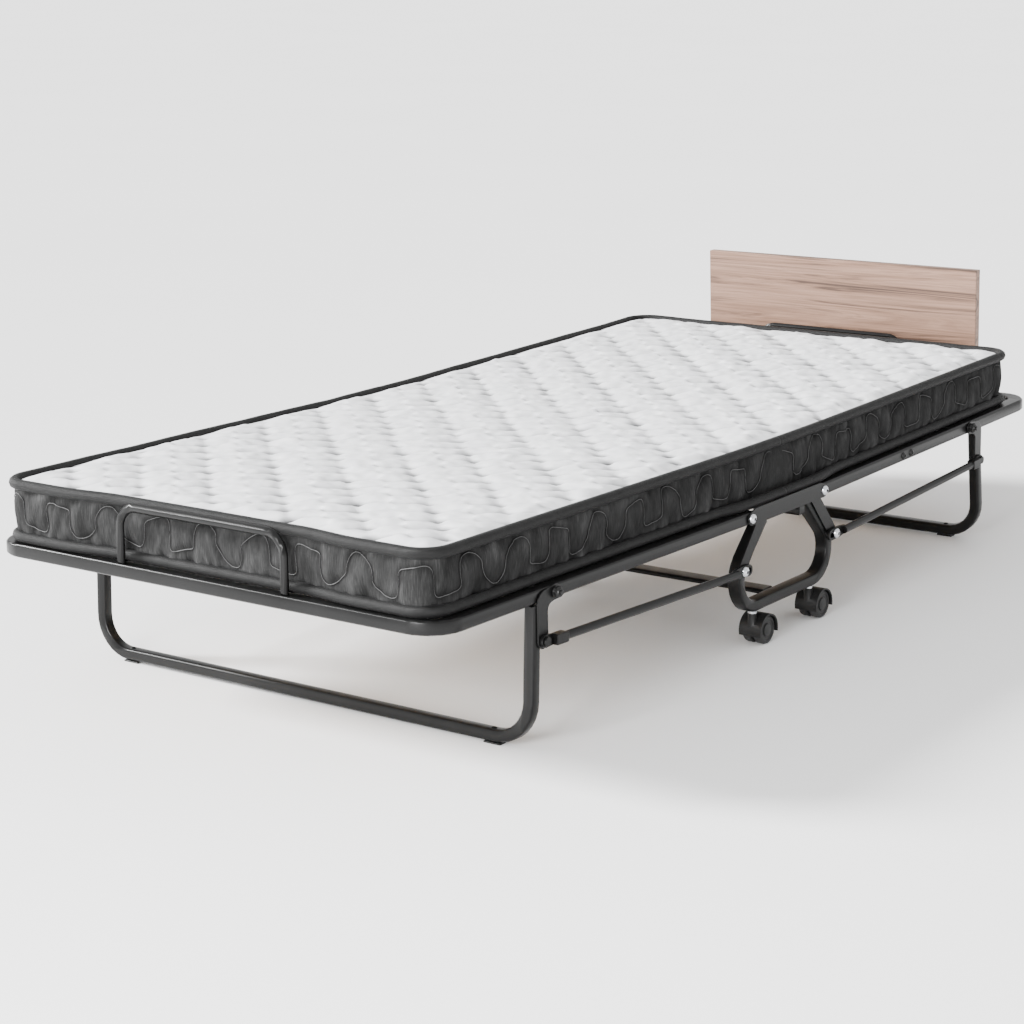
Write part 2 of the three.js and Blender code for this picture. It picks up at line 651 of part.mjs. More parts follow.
function castor(end, side) {
  const group = new THREE.Group();
  group.position.set(ENDS[end] * CASTOR_X, SIDES[side] * CASTOR_Y, 0);
  piece(group, `castor_housing_${end}_${side}`, castorHousingGeometry(), blackPlastic);
  const wheels = castorWheelsGeometry();
  piece(group, `castor_wheels_${end}_${side}`, wheels, blackPlastic, CASTOR_TRAIL, 0, WHEEL_RADIUS);
  return group;
}

// ---- the whole cot, with the origin on the floor under the middle of its length ----
const cot = new THREE.Group();
cot.position.x = (RAIL_REACH - BOARD_X - BOARD_THICKNESS) / 2;
cot.add(centreFrame(), deckFrame('foot').turned, headDeck());
for (const end of Object.keys(ENDS)) {
  cot.add(leg(end));
  for (const side of Object.keys(SIDES)) {
    cot.add(rod(end, side), castor(end, side));
  }
}

export default cot;
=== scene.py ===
"""Looks of a folding cot: quilted foam mattress, powder-coated steel frame, castors and a headboard.

Metres, in the same frame as the CAD model: X runs from the foot to the head, Y across, Z up.
"""

import json
import math

import bmesh
import bpy
from mathutils import Matrix, Vector, kdtree, noise


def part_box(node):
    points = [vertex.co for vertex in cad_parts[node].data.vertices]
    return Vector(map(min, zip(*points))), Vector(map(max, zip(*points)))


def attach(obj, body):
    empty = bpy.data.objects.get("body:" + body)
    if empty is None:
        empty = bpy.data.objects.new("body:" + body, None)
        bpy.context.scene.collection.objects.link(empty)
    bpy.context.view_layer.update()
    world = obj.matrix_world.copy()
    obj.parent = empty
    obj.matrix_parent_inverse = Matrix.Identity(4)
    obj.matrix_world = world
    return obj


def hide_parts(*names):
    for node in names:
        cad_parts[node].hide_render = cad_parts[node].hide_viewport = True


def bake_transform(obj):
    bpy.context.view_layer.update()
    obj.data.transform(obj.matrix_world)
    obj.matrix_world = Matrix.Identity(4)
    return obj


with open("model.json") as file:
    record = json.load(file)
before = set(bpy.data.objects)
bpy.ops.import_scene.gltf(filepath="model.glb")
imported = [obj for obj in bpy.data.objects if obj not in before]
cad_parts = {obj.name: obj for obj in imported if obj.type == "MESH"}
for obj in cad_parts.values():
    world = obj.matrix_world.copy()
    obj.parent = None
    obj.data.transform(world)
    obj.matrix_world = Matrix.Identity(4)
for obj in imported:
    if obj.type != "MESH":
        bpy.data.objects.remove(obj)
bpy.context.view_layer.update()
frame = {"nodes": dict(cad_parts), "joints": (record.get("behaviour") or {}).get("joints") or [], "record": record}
NODES = frame["nodes"]
JOINT_AT = {joint["name"]: Vector(joint["pos_m"]) for joint in frame["joints"]}

SIDES = {"right": -1, "left": 1}
ENDS = {"foot": -1, "head": 1}

CENTRE_X = (JOINT_AT["foot_fold"].x + JOINT_AT["head_fold"].x) / 2
HINGE_REACH = (JOINT_AT["head_fold"].x - JOINT_AT["foot_fold"].x) / 2

# ---- camera ----
CAMERA_AT = Vector((CENTRE_X - 3.6176, -2.5750, 1.2524))
CAMERA_HEADING = math.radians(36.78)
CAMERA_PITCH = math.radians(13.84)
CAMERA_ROLL = math.radians(-1.2)
CAMERA_LENS = 87.55

# ---- light ----
WORLD_STRENGTH = 1.25
SUN_ENERGY = 12.0
SUN_ANGLE = math.radians(14)
SUN_DIRECTION = Vector((-0.34, 0.80, 0.46))     # from the bed towards the sun
FILL_AT = (-4.5, -0.6, 1.4)
FILL_TARGET = (0, 0, 0.2)
FILL_SIZE = (2.0, 1.5)
FILL_POWER = 330
FLOOR_REACH = 30

# ---- mattress ----
PIPING_RADIUS = 0.0090
PIPING_SIDES = 10
PIPING_WAVER = 0.0012
RAIL_GAP_BULGE = 0.012            # the edge slumps outward where the rails stop, at the hinges
GAP_BULGE_FULL = 0.10             # distance from the middle up to which that bulge is full
GAP_BULGE_FADE = 0.12
FOOT_SWELL = 0.011                # the foot end stands out over its rail beside the hoop
FOOT_SWELL_RUN = 0.25
FOOT_SWELL_FROM = 0.185           # distance from the centre line
FOOT_SWELL_FADE = 0.12
SLOPE_EASE = 0.10                 # how gently the flat middle turns into each deck's slope
SEAM_FADE = 0.05                  # fine detail fades out this near the seam between the halves
CORNER_RADIUS = 0.045
ROW_STEP = 0.0045                 # mattress mesh, along the bed
COLUMN_STEP = 0.0050              # mattress mesh, across the bed
CORNER_STEPS = 14
BORDER_ROWS = 22
BORDER_BULGE = 0.0085
BORDER_SINK = 0.0055
BORDER_TUCK = 0.004               # the border's last row goes in under the lower piping
PUCKER_DEPTH = 0.0058
TACK_LINE_PITCH = 0.109           # between the diagonal lines of quilting tacks
TACK_LINE_OFFSET = 0.0057
TACK_PITCH = 0.055                # between tacks along a line
PUFF_HEIGHT = 0.0055
CREASE_DEPTH = 0.0085
TACK_DEPTH = 0.0100
CREASE_WIDTH = 0.0075
CREASE_RUN = 0.022
TACK_WIDTH = 0.0085
FOLD_SHADE_WIDTH = 0.0050               # painted shade: width of the dark line along a crease
# how far from a tack line the painted crease shade reaches
FOLD_SHADE_RUN = 0.042
RUMPLE_HEIGHT = 0.0028
TOP_SINK = 0.0035                 # the tacks pull the top this far below the piping
EDGE_ROLL = 0.045                 # width over which the top rolls down to the piping
STITCH_GROOVE = 0.0028
STITCH_GROOVE_WIDTH = 0.0050
VERMICELLI_STEP = 0.0165          # advance of the border's stitched line per radian
VERMICELLI_TURN = 0.09            # radians between the points of that line
THREAD_RADIUS = 0.0008
THREAD_SINK = 0.0014

# ---- steel frame ----
STEEL_EDGE = 0.0007               # width of the bevel on steel edges
RING_POINTS = 36                  # points round a bolt head or nut
BOLT_HEAD_HEIGHT = 0.0045
DOME_BANDS = 7                    # bands in a full quarter circle, of which the dome has five
SOCKET_MOUTH = 0.0031
SOCKET_FLOOR = 0.0028
SOCKET_DEPTH = 0.0022
LEG_NUT_Y = 0.4684                # the nut's seat, from the centre line
LEG_NUT_RADIUS = 0.0098
LEG_NUT_HEIGHT = 0.0085
SLEEVE_WIDTH = 0.0156
RAIL_SCREWS_ALONG = (0.300, 0.330)
FLOOR_BAR_HEIGHT = 0.0200
CRADLE_LENGTH = 0.036
SLATS_PER_DECK = 6


# ---- shader helpers ----
class Material:
    """A Principled material with short ways to add texture nodes to it."""

    def __init__(self, name, color, roughness, **sockets):
        self.material = bpy.data.materials.new(name)
        self.material.use_nodes = True
        self.tree = self.material.node_tree
        self.shader = self.tree.nodes["Principled BSDF"]
        self.shader.inputs["Base Color"].default_value = (*color, 1)
        self.shader.inputs["Roughness"].default_value = roughness
        for socket, value in sockets.items():
            self.shader.inputs[socket.replace("_", " ")].default_value = value

    def node(self, kind, settings=None, **inputs):
        """Adds a node; each input is a value, or another node's output to link."""
        node = self.tree.nodes.new("ShaderNode" + kind)
        for key, value in (settings or {}).items():
            setattr(node, key, value)
        for key, value in inputs.items():
            socket = node.inputs[int(key[1:])] if key[0] == "_" else node.inputs[key.replace("_", " ")]
            if isinstance(value, bpy.types.NodeSocket):
                self.tree.links.new(value, socket)
            else:
                socket.default_value = value
        return node

    def coordinates(self, space, scale, turn=0.0):
        """Texture coordinates in metres, turned about Z and then scaled."""
        source = self.node("TexCoord").outputs[space]
        turned = self.node("Mapping", Vector=source, Rotation=(0, 0, turn))
        return self.node("Mapping", Vector=turned.outputs[0], Scale=scale).outputs[0]

    def noise(self, vector, detail=3.0, roughness=0.5, distortion=0.0):
        node = self.node("TexNoise", Vector=vector, Scale=1.0, Detail=detail, Roughness=roughness,
                         Distortion=distortion)
        return node.outputs["Fac"]

    def ramp(self, factor, *stops):
        """A colour ramp of (position, colour) stops."""
        node = self.node("ValToRGB", Fac=factor)
        elements = node.color_ramp.elements
        while len(elements) < len(stops):
            elements.new(0.5)
        for element, (position, color) in zip(elements, stops):
            element.position = position
            element.color = (*color, 1)
        return node.outputs["Color"]

    def remap(self, value, low, high):
        node = self.node("MapRange", Value=value)
        node.inputs["To Min"].default_value = low
        node.inputs["To Max"].default_value = high
        return node.outputs["Result"]

    def paint(self, color):
        self.tree.links.new(color, self.shader.inputs["Base Color"])

    def gloss(self, value):
        self.tree.links.new(value, self.shader.inputs["Roughness"])

    def bump(self, *layers):
        """Stacks bump layers of (height, depth in metres)."""
        normal = None
        for height, depth in layers:
            node = self.node("Bump", Height=height, Distance=depth, Strength=1.0)
            if normal:
                self.tree.links.new(normal, node.inputs["Normal"])
            normal = node.outputs["Normal"]
        self.tree.links.new(normal, self.shader.inputs["Normal"])


def grey(value, warm=0.0):
    return (value * (1 + warm), value, value * (1 - warm))


# ---- materials ----
def powder_coat():
    m = Material("powder_coat", grey(0.005), 0.30, Specular_IOR_Level=0.20)
    cloud = m.noise(m.coordinates("Object", (9, 9, 9)), detail=4)
    m.paint(m.ramp(cloud, (0.3, grey(0.0035)), (0.7, grey(0.0065))))
    m.gloss(m.remap(cloud, 0.24, 0.36))
    peel = m.noise(m.coordinates("Object", (900, 900, 900)), detail=2)
    m.bump((peel, 0.00007))
    return m.material


def zinc():
    m = Material("zinc", (0.70, 0.72, 0.75), 0.25, Metallic=1.0)
    cloud = m.noise(m.coordinates("Object", (160, 160, 160)), detail=4)
    m.paint(m.ramp(cloud, (0.3, (0.60, 0.62, 0.66)), (0.7, (0.80, 0.81, 0.83))))
    m.gloss(m.remap(cloud, 0.18, 0.34))
    scuff = m.noise(m.coordinates("Object", (1500, 300, 1500)), detail=2)
    m.bump((scuff, 0.00004))
    return m.material


def black_plastic():
    m = Material("black_plastic", grey(0.008), 0.42, Specular_IOR_Level=0.3)
    cloud = m.noise(m.coordinates("Object", (40, 40, 40)), detail=3)
    m.paint(m.ramp(cloud, (0.3, grey(0.006)), (0.7, grey(0.011))))
    m.gloss(m.remap(cloud, 0.34, 0.5))
    grain = m.noise(m.coordinates("Object", (2200, 2200, 2200)), detail=1)
    m.bump((grain, 0.00005))
    return m.material


def wheel_grey():
    m = Material("wheel_grey", grey(0.02), 0.5, Specular_IOR_Level=0.3)
    cloud = m.noise(m.coordinates("Object", (70, 70, 70)), detail=4)
    m.paint(m.ramp(cloud, (0.3, grey(0.015)), (0.7, grey(0.03))))
    m.gloss(m.remap(cloud, 0.42, 0.6))
    m.bump((m.noise(m.coordinates("Object", (1800, 1800, 1800)), detail=1), 0.00005))
    return m.material


def beech():
    m = Material("beech", (0.56, 0.40, 0.24), 0.42)
    figure = m.noise(m.coordinates("Object", (60, 3.5, 60)), detail=5, distortion=0.6)
    m.paint(m.ramp(figure, (0.3, (0.47, 0.31, 0.17)), (0.5, (0.58, 0.41, 0.24)),
                   (0.72, (0.66, 0.49, 0.31))))
    m.gloss(m.remap(figure, 0.5, 0.36))
    pores = m.noise(m.coordinates("Object", (900, 28, 900)), detail=2)
    m.bump((pores, 0.00012))
    return m.material


def oak_laminate():
    """Light pinkish-grey oak print with its grain across the board."""
    m = Material("oak_laminate", (0.50, 0.40, 0.34), 0.45)
    cathedral = m.noise(m.coordinates("Object", (40, 1.6, 34)), detail=6, roughness=0.6, distortion=1.2)
    tone = m.ramp(cathedral, (0.36, (0.070, 0.036, 0.023)), (0.44, (0.24, 0.136, 0.090)),
                  (0.56, (0.32, 0.190, 0.132)), (0.66, (0.120, 0.064, 0.041)))
    streaks = m.noise(m.coordinates("Object", (400, 5, 400)), detail=3)
    shade = m.ramp(streaks, (0.35, (0.66, 0.63, 0.61)), (0.62, (1.0, 1.0, 1.0)))
    mixed = m.node("Mix", {"data_type": "RGBA", "blend_type": "MULTIPLY"}, _0=0.75, _6=tone, _7=shade)
    m.paint(mixed.outputs[2])
    m.gloss(m.remap(streaks, 0.52, 0.4))
    m.bump((streaks, 0.00010))
    return m.material


def white_ticking():
    """Fine white knit: small loops, and short pulled wrinkles that run across the tack lines."""
    m = Material("white_ticking", (0.62, 0.63, 0.65), 0.85, Specular_IOR_Level=0.2)
    blotch = m.noise(m.coordinates("UV", (26, 26, 1)), detail=3)
    cloth = m.ramp(blotch, (0.3, (0.66, 0.665, 0.68)), (0.7, (0.76, 0.765, 0.775)))
    # painted shade: the tack pits and creases are darkened in the cloth's colour
    pit_shade = m.node("Attribute", {"attribute_name": "tack_pit_and_shade"}).outputs["Fac"]
    shade = m.ramp(pit_shade, (0.06, grey(1.0)), (0.55, grey(0.12)))
    mixed = m.node("Mix", {"data_type": "RGBA", "blend_type": "MULTIPLY"}, _0=1.0, _6=cloth, _7=shade)
    m.paint(mixed.outputs[2])
    turn = math.radians(45)
    pulls = m.noise(m.coordinates("UV", (14, 42, 1), turn), detail=2, distortion=0.8)
    knit = m.node("TexWave", {"wave_type": "BANDS"}, Vector=m.coordinates("UV", (160, 160, 1)),
                  Scale=1.0, Distortion=2.0, Detail=1.0).outputs["Fac"]
    loops = m.noise(m.coordinates("UV", (900, 900, 1)), detail=2)
    m.bump((pulls, 0.0022), (knit, 0.00012), (loops, 0.00022))
    return m.material


def grey_border():
    """Charcoal brushed knit with an upright nap."""
    m = Material("grey_border", grey(0.04), 0.9, Sheen_Weight=0.05, Sheen_Roughness=0.3,
                 Specular_IOR_Level=0.08)
    nap = m.noise(m.coordinates("UV", (520, 60, 1)), detail=4, roughness=0.65)
    cloud = m.noise(m.coordinates("UV", (24, 9, 1)), detail=3)
    fibre = m.ramp(nap, (0.30, grey(0.022)), (0.55, grey(0.044)), (0.76, grey(0.080)))
    # painted light and shade: pucker ridges lightened, their valleys and the stitch groove darkened
    painted_pucker_shading = m.node("Attribute", {"attribute_name": "painted_pucker_shading"}).outputs["Fac"]
    shade = m.ramp(painted_pucker_shading, (0.05, grey(0.24)), (0.5, grey(0.48)), (0.95, grey(0.95)))
    mixed = m.node("Mix", {"data_type": "RGBA", "blend_type": "MULTIPLY"}, _0=1.0, _6=fibre, _7=shade)
    m.paint(mixed.outputs[2])
    m.bump((cloud, 0.0030), (nap, 0.0006))
    return m.material


def dark_piping():
    """Charcoal woven tape rolled over the seam."""
    m = Material("dark_piping", grey(0.007), 0.55, Sheen_Weight=0.02, Specular_IOR_Level=0.14)
    ribs = m.node("TexWave", {"wave_type": "BANDS"}, Vector=m.coordinates("UV", (330, 40, 1)),
                  Scale=1.0, Distortion=0.8, Detail=1.0).outputs["Fac"]
    cloud = m.noise(m.coordinates("UV", (40, 60, 1)), detail=3)
    m.paint(m.ramp(cloud, (0.3, grey(0.005)), (0.7, grey(0.010))))
    m.bump((cloud, 0.0006), (ribs, 0.00018))
    return m.material


def border_thread():
    m = Material("border_thread", grey(0.12), 0.6)
    twist = m.noise(m.coordinates("UV", (900, 200, 1)), detail=2)
    m.paint(m.ramp(twist, (0.35, grey(0.028)), (0.65, grey(0.065))))
    m.bump((twist, 0.0002))
    return m.material


def base_cloth():
    m = Material("base_cloth", grey(0.30), 0.9)
    weave = m.noise(m.coordinates("UV", (700, 700, 1)), detail=2)
    m.paint(m.ramp(weave, (0.35, grey(0.24)), (0.65, grey(0.36))))
    m.bump((weave, 0.0004))
    return m.material


def socket_black():
    # painted shade: the hex socket in a zinc bolt head is coloured near black for the shade in its recess
    m = Material("socket_black", grey(0.01), 0.5)
    cloud = m.noise(m.coordinates("Object", (800, 800, 800)), detail=2)
    m.paint(m.ramp(cloud, (0.3, grey(0.008)), (0.7, grey(0.02))))
    return m.material


MATERIALS = {make.__name__: make() for make in (
    powder_coat, zinc, black_plastic, wheel_grey, beech, oak_laminate,
    white_ticking, grey_border, dark_piping, border_thread, base_cloth, socket_black,
)}


# ---- mesh helpers ----
def new_object(name, vertices, faces, *materials, smooth=True):
    mesh = bpy.data.meshes.new(name)
    mesh.from_pydata(vertices, [], faces)
    mesh.update()
    for material in materials:
        mesh.materials.append(MATERIALS[material])
    mesh.polygons.foreach_set("use_smooth", [smooth] * len(mesh.polygons))
    obj = bpy.data.objects.new(name, mesh)
    bpy.context.scene.collection.objects.link(obj)
    return obj


def set_uv(obj, coordinates):
    """Writes one (u, v) per vertex, in metres."""
    layer = obj.data.uv_layers.new(name="UVMap")
    for loop in obj.data.loops:
        layer.data[loop.index].uv = coordinates[loop.vertex_index]


def soften(obj, width=STEEL_EDGE, angle=50):
    """Rounds an object's sharp edges and shades it smooth, without moving its shape."""
    mesh = obj.data
    for name in ("custom_normal", "sharp_edge", "sharp_face"):
        if name in mesh.attributes:
            mesh.attributes.remove(mesh.attributes[name])
    weld = obj.modifiers.new("weld", "WELD")
    weld.merge_threshold = 0.00002
    bevel = obj.modifiers.new("edges", "BEVEL")
    bevel.width = width
    bevel.segments = 2
    bevel.angle_limit = math.radians(angle)
    obj.modifiers.new("shading", "WEIGHTED_NORMAL")


def spun(name, profile, material, at, axis, segments):
    """A solid of revolution: profile is (radius, distance along the axis), in metres."""
    turn = Vector((0, 0, 1)).rotation_difference(Vector(axis)).to_matrix()
    vertices = []
    for radius, along in profile:
        for k in range(segments):
            angle = 2 * math.pi * k / segments
            local = Vector((radius * math.cos(angle), radius * math.sin(angle), along))
            vertices.append(turn @ local + Vector(at))
    faces = []
    for ring in range(len(profile) - 1):
        for k in range(segments):
            a = ring * segments + k
            b = ring * segments + (k + 1) % segments
            faces.append((a, b, b + segments, a + segments))
    faces.append(tuple(reversed(range(segments))))
    last = (len(profile) - 1) * segments
    faces.append(tuple(range(last, last + segments)))
    return new_object(name, vertices, faces, material)


def prism(name, outline, depth, material, at, right, up, bevel):
    """An outline in the (right, up) plane, pushed out by depth along right x up."""
    right = Vector(right)
    up = Vector(up)
    out = right.cross(up)
    base = [Vector(at) + right * x + up * y for x, y in outline]
    count = len(base)
    vertices = base + [point + out * depth for point in base]
    faces = [tuple(reversed(range(count))), tuple(range(count, 2 * count))]
    faces += [(k, (k + 1) % count, count + (k + 1) % count, count + k) for k in range(count)]
    obj = new_object(name, vertices, faces, material)
    soften(obj, bevel, 30)
    return obj


def joined(name, objects):
    """Joins several objects, with their modifiers applied, into one piece."""
    depsgraph = bpy.context.evaluated_depsgraph_get()
    result = bmesh.new()
    materials = []
    for obj in objects:
        mesh = bpy.data.meshes.new_from_object(obj.evaluated_get(depsgraph))
        start = len(result.faces)
        result.from_mesh(mesh)
        result.faces.ensure_lookup_table()
        for material in mesh.materials:
            if material not in materials:
                materials.append(material)
        for face in result.faces[start:]:
            face.material_index = materials.index(mesh.materials[face.material_index])
        bpy.data.objects.remove(obj)
    whole = bpy.data.meshes.new(name)
    result.to_mesh(whole)
    result.free()
    for material in materials:
        whole.materials.append(material)
    piece = bpy.data.objects.new(name, whole)
    bpy.context.scene.collection.objects.link(piece)
    return piece


# ---- camera, floor and light ----
def make_camera():
    heading = Vector((math.cos(CAMERA_HEADING), math.sin(CAMERA_HEADING), 0))
    forward = heading * math.cos(CAMERA_PITCH) - Vector((0, 0, math.sin(CAMERA_PITCH)))
    level = Vector((heading.y, -heading.x, 0))
    upright = level.cross(forward)
    right = level * math.cos(CAMERA_ROLL) + upright * math.sin(CAMERA_ROLL)
    up = upright * math.cos(CAMERA_ROLL) - level * math.sin(CAMERA_ROLL)
    data = bpy.data.cameras.new("camera")
    data.lens = CAMERA_LENS
    data.clip_end = 100
    camera = bpy.data.objects.new("camera", data)
    camera.matrix_world = Matrix((right, up, -forward)).transposed().to_4x4()
    camera.location = CAMERA_AT
    bpy.context.scene.collection.objects.link(camera)
    bpy.context.scene.camera = camera


def area_light(name, at, target, size, power):
    data = bpy.data.lights.new(name, "AREA")
    data.shape = "RECTANGLE"
    data.size, data.size_y = size
    data.energy = power
    light = bpy.data.objects.new(name, data)
    light.location = at
    light.rotation_euler = (Vector(target) - Vector(at)).to_track_quat("-Z", "Y").to_euler()
    bpy.context.scene.collection.objects.link(light)


def make_studio():
    world = bpy.data.worlds.new("studio")
    world.use_nodes = True
    world.node_tree.nodes["Background"].inputs["Color"].default_value = (1, 1, 1, 1)
    world.node_tree.nodes["Background"].inputs["Strength"].default_value = WORLD_STRENGTH
    bpy.context.scene.world = world
    sun = bpy.data.lights.new("key", "SUN")
    sun.energy = SUN_ENERGY
    sun.angle = SUN_ANGLE
    key = bpy.data.objects.new("key", sun)
    key.rotation_euler = SUN_DIRECTION.to_track_quat("Z", "Y").to_euler()
    bpy.context.scene.collection.objects.link(key)
    area_light("fill", FILL_AT, FILL_TARGET, FILL_SIZE, FILL_POWER)
    reach = FLOOR_REACH
    corners = [(-reach, -reach, 0), (reach, -reach, 0), (reach, reach, 0), (-reach, reach, 0)]
    m = Material("studio_floor", grey(0.92), 0.6)
    cloud = m.noise(m.coordinates("Object", (0.8, 0.8, 1)), detail=2)
    m.paint(m.ramp(cloud, (0.2, grey(0.90)), (0.8, grey(0.93))))
    MATERIALS["studio_floor"] = m.material
    floor = new_object("floor", corners, [(0, 1, 2, 3)], "studio_floor", smooth=False)


# ---- mattress ----
def smoothstep(value):
    t = min(1.0, max(0.0, value))
    return t * t * (3 - 2 * t)


class MattressHalf:
    """One half of the mattress, in local terms: along runs from the middle of the bed to its end."""

    def __init__(self, end):
        self.end = end
        self.out = ENDS[end]
        low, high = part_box(f"mattress_{end}")
        fold_low, fold_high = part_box("mattress_fold")
        outer = low.x if self.out < 0 else high.x
        self.length = abs(outer - CENTRE_X) - PIPING_RADIUS
        self.half_width = high.y - PIPING_RADIUS
        self.rise = (high.z - fold_high.z) / (abs(outer - CENTRE_X) - HINGE_REACH)
        self.top_middle = fold_high.z
        self.bottom_middle = fold_low.z

    def lift(self, along):
        """How far the sagging deck has risen at this distance from the middle."""
        distance = along - HINGE_REACH
        return self.rise * (distance + math.sqrt(distance * distance + SLOPE_EASE * SLOPE_EASE)) / 2

    def top(self, along):
        return self.top_middle + self.lift(along)

    def bottom(self, along):
        return self.bottom_middle + self.lift(along)

    def world(self, along, y, z):
        """World point; beside its hoop the foot end swells out over the rail."""
        if self.end == "foot":
            near_end = smoothstep((along - self.length + FOOT_SWELL_RUN) / FOOT_SWELL_RUN)
            beside_hoop = smoothstep((abs(y) - FOOT_SWELL_FROM) / FOOT_SWELL_FADE)
            along += FOOT_SWELL * near_end * beside_hoop
        return Vector((CENTRE_X + self.out * along, y, z))

    def rows(self):
        """Distances from the middle of every row of the mesh, closer together round the corners."""
        straight = self.length - CORNER_RADIUS
        count = round(straight / ROW_STEP)
        rows = [straight * k / count for k in range(count + 1)]
        for k in range(1, CORNER_STEPS + 1):
            rows.append(straight + CORNER_RADIUS * math.sin(math.pi / 2 * k / CORNER_STEPS))
        return rows

    def width_at(self, along):
        past = along - (self.length - CORNER_RADIUS)
        if past <= 0:
            return self.half_width
        drop = CORNER_RADIUS - math.sqrt(max(0.0, CORNER_RADIUS ** 2 - past ** 2))
        return self.half_width - drop

    def outline(self):
        """(along, y, outward, distance) right round the half, from one side's middle to the other's."""
        rows = self.rows()
        columns = round(2 * self.half_width / COLUMN_STEP)
        end_half = self.width_at(self.length)
        points = [(row, -self.width_at(row)) for row in rows]
        points += [(self.length, -end_half + 2 * end_half * k / columns) for k in range(1, columns)]
        points += [(row, self.width_at(row)) for row in reversed(rows)]
        result = []
        distance = 0.0
        for k, (along, y) in enumerate(points):
            if k:
                distance += math.dist(points[k - 1], points[k])
            result.append((along, y, self.outward(along, y), distance))
        return result

    def outward(self, along, y):
        """Outward direction in plan, as (along, across)."""
        corner_along = self.length - CORNER_RADIUS
        corner_y = self.half_width - CORNER_RADIUS
        past = Vector((max(0.0, along - corner_along), max(0.0, abs(y) - corner_y)))
        if past.length < 1e-9:
            return Vector((0, math.copysign(1, y)))
        past.normalize()
        return Vector((past.x, math.copysign(past.y, y)))


def quilt(x, y):
    """(height, painted shade) of the top: pillows between tack lines, creased from tack to tack."""
    across = (y - x) / math.sqrt(2)
    along = (x + y) / math.sqrt(2)
    wander = noise.noise(Vector((x * 9, y * 9, 1.7)))
    line = (across - TACK_LINE_OFFSET + 0.004 * wander) / TACK_LINE_PITCH
    number = round(line)
    from_line = abs(line - number) * TACK_LINE_PITCH
    ripple = noise.noise(Vector((x * 22, y * 22, 5.1)))
    shifted = along + 0.0065 * ripple + 0.5 * TACK_PITCH * (number % 2)
    from_tack = abs(shifted / TACK_PITCH - round(shifted / TACK_PITCH)) * TACK_PITCH
    pillow = math.sin(math.pi * min(1.0, from_line / (TACK_LINE_PITCH / 2)) / 2) ** 0.7
    depth = 0.55 + 0.75 * noise.noise(Vector((along * 14, across * 5, 9.3)))
    crease = math.exp(-(from_tack / CREASE_WIDTH) ** 2)
    crease *= 0.42 + 0.58 * math.exp(-from_line / CREASE_RUN)
    # the pit's shape: it sinks the top and also sets the pit's painted shade
    tack_pit_and_shade = math.exp(-(from_tack / TACK_WIDTH) ** 2 - (from_line / TACK_WIDTH) ** 2)
    rumple = noise.noise(Vector((x * 30, y * 30, 3.3)))
    rumple += 0.6 * noise.noise(Vector((x * 65, y * 65, 7.7)))
    height = PUFF_HEIGHT * pillow - CREASE_DEPTH * crease * max(0.0, depth + 0.4) - TACK_DEPTH * tack_pit_and_shade
    # painted shade: a dark line along each crease, fading away from the tack line
    crease_shade = 0.60 * math.exp(-(from_tack / FOLD_SHADE_WIDTH) ** 2 - from_line / FOLD_SHADE_RUN)
    crease_shade *= max(0.0, depth + 0.2)
    # the second value is painted shade in the tack pits and along the creases
    return height + RUMPLE_HEIGHT * rumple, min(1.0, tack_pit_and_shade + crease_shade)


def top_vertices(half, rows):
    """The top grid: every row has the same number of columns, and the last row is the mattress's end."""
    columns = round(2 * half.half_width / COLUMN_STEP)
    vertices = []
    pit_shade_values = []
    for along in rows:
        width = half.width_at(along)
        for k in range(columns + 1):
            y = width * (2 * k / columns - 1)
            edge = min(width - abs(y), half.length - along)
            inside = smoothstep(edge / EDGE_ROLL)
            world = half.world(along, y, 0)
            height, tack_pit_and_shade = quilt(world.x - CENTRE_X, y)
            z = half.top(along) - PIPING_RADIUS * (1 - inside) + (height - TOP_SINK) * inside
            vertices.append(half.world(along, y, z))
            # painted shade for the tack pits and creases, faded out over the edge roll
            pit_shade_values.append(tack_pit_and_shade * inside)
    return vertices, pit_shade_values, columns


def vermicelli(length, phase):
    """The border's meandering stitched line, as (distance, height from -1 to 1) points."""
    points = []
    angle = 0.0
    while True:
        loop = 0.5 + 0.5 * noise.noise(Vector((angle * 0.31, phase, 2.0)))
        drift = noise.noise(Vector((angle * 0.13, phase, 6.0)))
        distance = VERMICELLI_STEP * angle - (0.005 + 0.007 * loop) * math.sin(2 * angle + drift)
        height = (0.42 + 0.34 * loop) * math.sin(angle) + 0.10 * math.sin(2.6 * angle + phase)
        if distance > length:
            return points
        if distance > 0:
            points.append((distance, max(-0.85, min(0.85, height))))
        angle += VERMICELLI_TURN


def border_gather(distance, height, seed, along):
    """The border's upright puckers, from about -1 in a valley to 1 on a ridge."""
    slant = 0.012 * noise.noise(Vector((distance * 5, seed, 0.5))) * height
    gather = noise.noise(Vector(((distance + slant) * 42, height * 0.9, seed)))
    fine = noise.noise(Vector(((distance + slant) * 95, height * 1.6, seed + 4)))
    ends = 0.45 + 0.55 * abs(height)
    return (gather + 0.45 * fine) * ends * smoothstep(along / SEAM_FADE)


def border_offset(distance, height, seed, along):
    """How far the border stands out: a bulge between the pipings, gathered into upright puckers."""
    bulge = BORDER_BULGE * (1 - height * height) ** 0.7 - BORDER_SINK
    return bulge + PUCKER_DEPTH * border_gather(distance, height, seed, along)


def groove_tree(stitches, middle):
    """A map from a border point to how near it is to the stitched line."""
    tree = kdtree.KDTree(len(stitches))
    for k, (distance, height) in enumerate(stitches):
        tree.insert((distance, height * middle, 0), k)
    tree.balance()
    return tree


